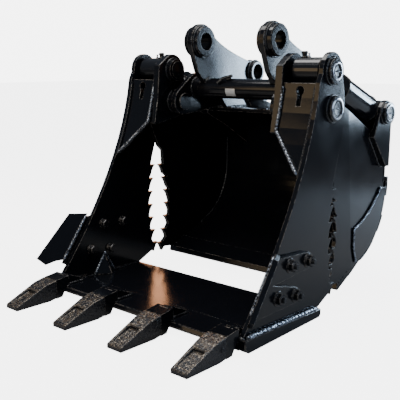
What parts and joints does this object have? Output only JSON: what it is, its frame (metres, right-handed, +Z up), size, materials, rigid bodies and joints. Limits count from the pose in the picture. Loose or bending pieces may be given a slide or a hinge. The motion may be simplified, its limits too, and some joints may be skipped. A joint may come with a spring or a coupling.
{
  "type": "excavator bucket",
  "caption": "Clamshell excavator bucket: hung back shell, hinged toothed jaw with barbed side plates and side cutters, and side cylinders that swing the jaw.",
  "frame": {"origin": "on the ground, under the middle of the bounding box", "axes": "-Y is the way the teeth point, +X is towards the parts named right, +Z is up"},
  "size_m": [1.2346, 1.4713, 1.2005],
  "materials": {
    "gloss_black_paint": "gloss",
    "cast_steel": "rough cast, worn",
    "pin_steel": "machined",
    "chrome_rod": "polished"
  },
  "bodies": {
    "rear_shell": {"back_wrapper": "gloss_black_paint", "rear_lip": "gloss_black_paint", "top_plate": "gloss_black_paint", "torque_tube": "gloss_black_paint", "centre_rib": "gloss_black_paint", "wear_bar_1": "gloss_black_paint", "wear_bar_2": "gloss_black_paint", "wear_bar_3": "gloss_black_paint", "shell_side_plate_left": "gloss_black_paint", "shell_side_plate_right": "gloss_black_paint", "heel_side_plate_left": "gloss_black_paint", "heel_side_plate_right": "gloss_black_paint", "hinge_ear_inner_left": "gloss_black_paint", "hinge_ear_inner_right": "gloss_black_paint", "hanger_plate_left": "gloss_black_paint", "hanger_plate_right": "gloss_black_paint", "hanger_boss_front_left": "gloss_black_paint", "hanger_boss_front_right": "gloss_black_paint", "hanger_boss_rear_left": "gloss_black_paint", "hanger_boss_rear_right": "gloss_black_paint", "cylinder_bracket_outer_left": "gloss_black_paint", "cylinder_bracket_outer_right": "gloss_black_paint", "cylinder_bracket_inner_left": "gloss_black_paint", "cylinder_bracket_inner_right": "gloss_black_paint", "cylinder_bay_floor_left": "gloss_black_paint", "cylinder_bay_floor_right": "gloss_black_paint", "cylinder_pin_left": "pin_steel", "cylinder_pin_right": "pin_steel"},
    "jaw": {"jaw_floor": "gloss_black_paint", "cutting_edge": "gloss_black_paint", "jaw_side_plate_left": "gloss_black_paint", "jaw_side_plate_right": "gloss_black_paint", "skid_shoe_left": "gloss_black_paint", "skid_shoe_right": "gloss_black_paint", "arm_inner_plate_left": "gloss_black_paint", "arm_inner_plate_right": "gloss_black_paint", "arm_front_plate_left": "gloss_black_paint", "arm_front_plate_right": "gloss_black_paint", "side_cutter_left": "gloss_black_paint", "side_cutter_right": "gloss_black_paint", "hinge_boss_left": "gloss_black_paint", "hinge_boss_right": "gloss_black_paint", "hinge_pin_left": "pin_steel", "hinge_pin_right": "pin_steel", "rod_boss_left": "gloss_black_paint", "rod_boss_right": "gloss_black_paint", "rod_pin_left": "pin_steel", "rod_pin_right": "pin_steel", "tooth_1": "cast_steel", "tooth_2": "cast_steel", "tooth_3": "cast_steel", "tooth_4": "cast_steel", "tooth_adapter_1": "gloss_black_paint", "tooth_adapter_2": "gloss_black_paint", "tooth_adapter_3": "gloss_black_paint", "tooth_adapter_4": "gloss_black_paint"},
    "cylinder_barrel_left": {"cylinder_barrel_left": "gloss_black_paint"},
    "cylinder_rod_left": {"cylinder_rod_left": "chrome_rod"},
    "cylinder_barrel_right": {"cylinder_barrel_right": "gloss_black_paint"},
    "cylinder_rod_right": {"cylinder_rod_right": "chrome_rod"}
  },
  "joints": [
    {"name": "jaw_hinge", "type": "hinge", "parent": "rear_shell", "child": "jaw", "pos_m": [0, 0.1214, 0.847], "axis": [1, 0, 0], "range_deg": [-40, 14]},
    {"name": "cylinder_pivot_left", "type": "hinge", "parent": "rear_shell", "child": "cylinder_barrel_left", "pos_m": [-0.436, 0.6144, 0.803], "axis": [1, 0, 0], "range_deg": [-2.6, 1]},
    {"name": "cylinder_stroke_left", "type": "slide", "parent": "cylinder_barrel_left", "child": "cylinder_rod_left", "axis": [0, -0.9357, 0.3528], "range_m": [-0.098, 0.035]},
    {"name": "cylinder_pivot_right", "type": "hinge", "parent": "rear_shell", "child": "cylinder_barrel_right", "pos_m": [0.436, 0.6144, 0.803], "axis": [1, 0, 0], "range_deg": [-2.6, 1]},
    {"name": "cylinder_stroke_right", "type": "slide", "parent": "cylinder_barrel_right", "child": "cylinder_rod_right", "axis": [0, -0.9357, 0.3528], "range_m": [-0.098, 0.035]}
  ],
  "couplings": [
    {"joint": "cylinder_pivot_left", "follows": "jaw_hinge", "ratio": 0.0635},
    {"joint": "cylinder_stroke_left", "follows": "jaw_hinge", "m_per_rad": 0.1389},
    {"joint": "cylinder_pivot_right", "follows": "jaw_hinge", "ratio": 0.0635},
    {"joint": "cylinder_stroke_right", "follows": "jaw_hinge", "m_per_rad": 0.1389}
  ]
}
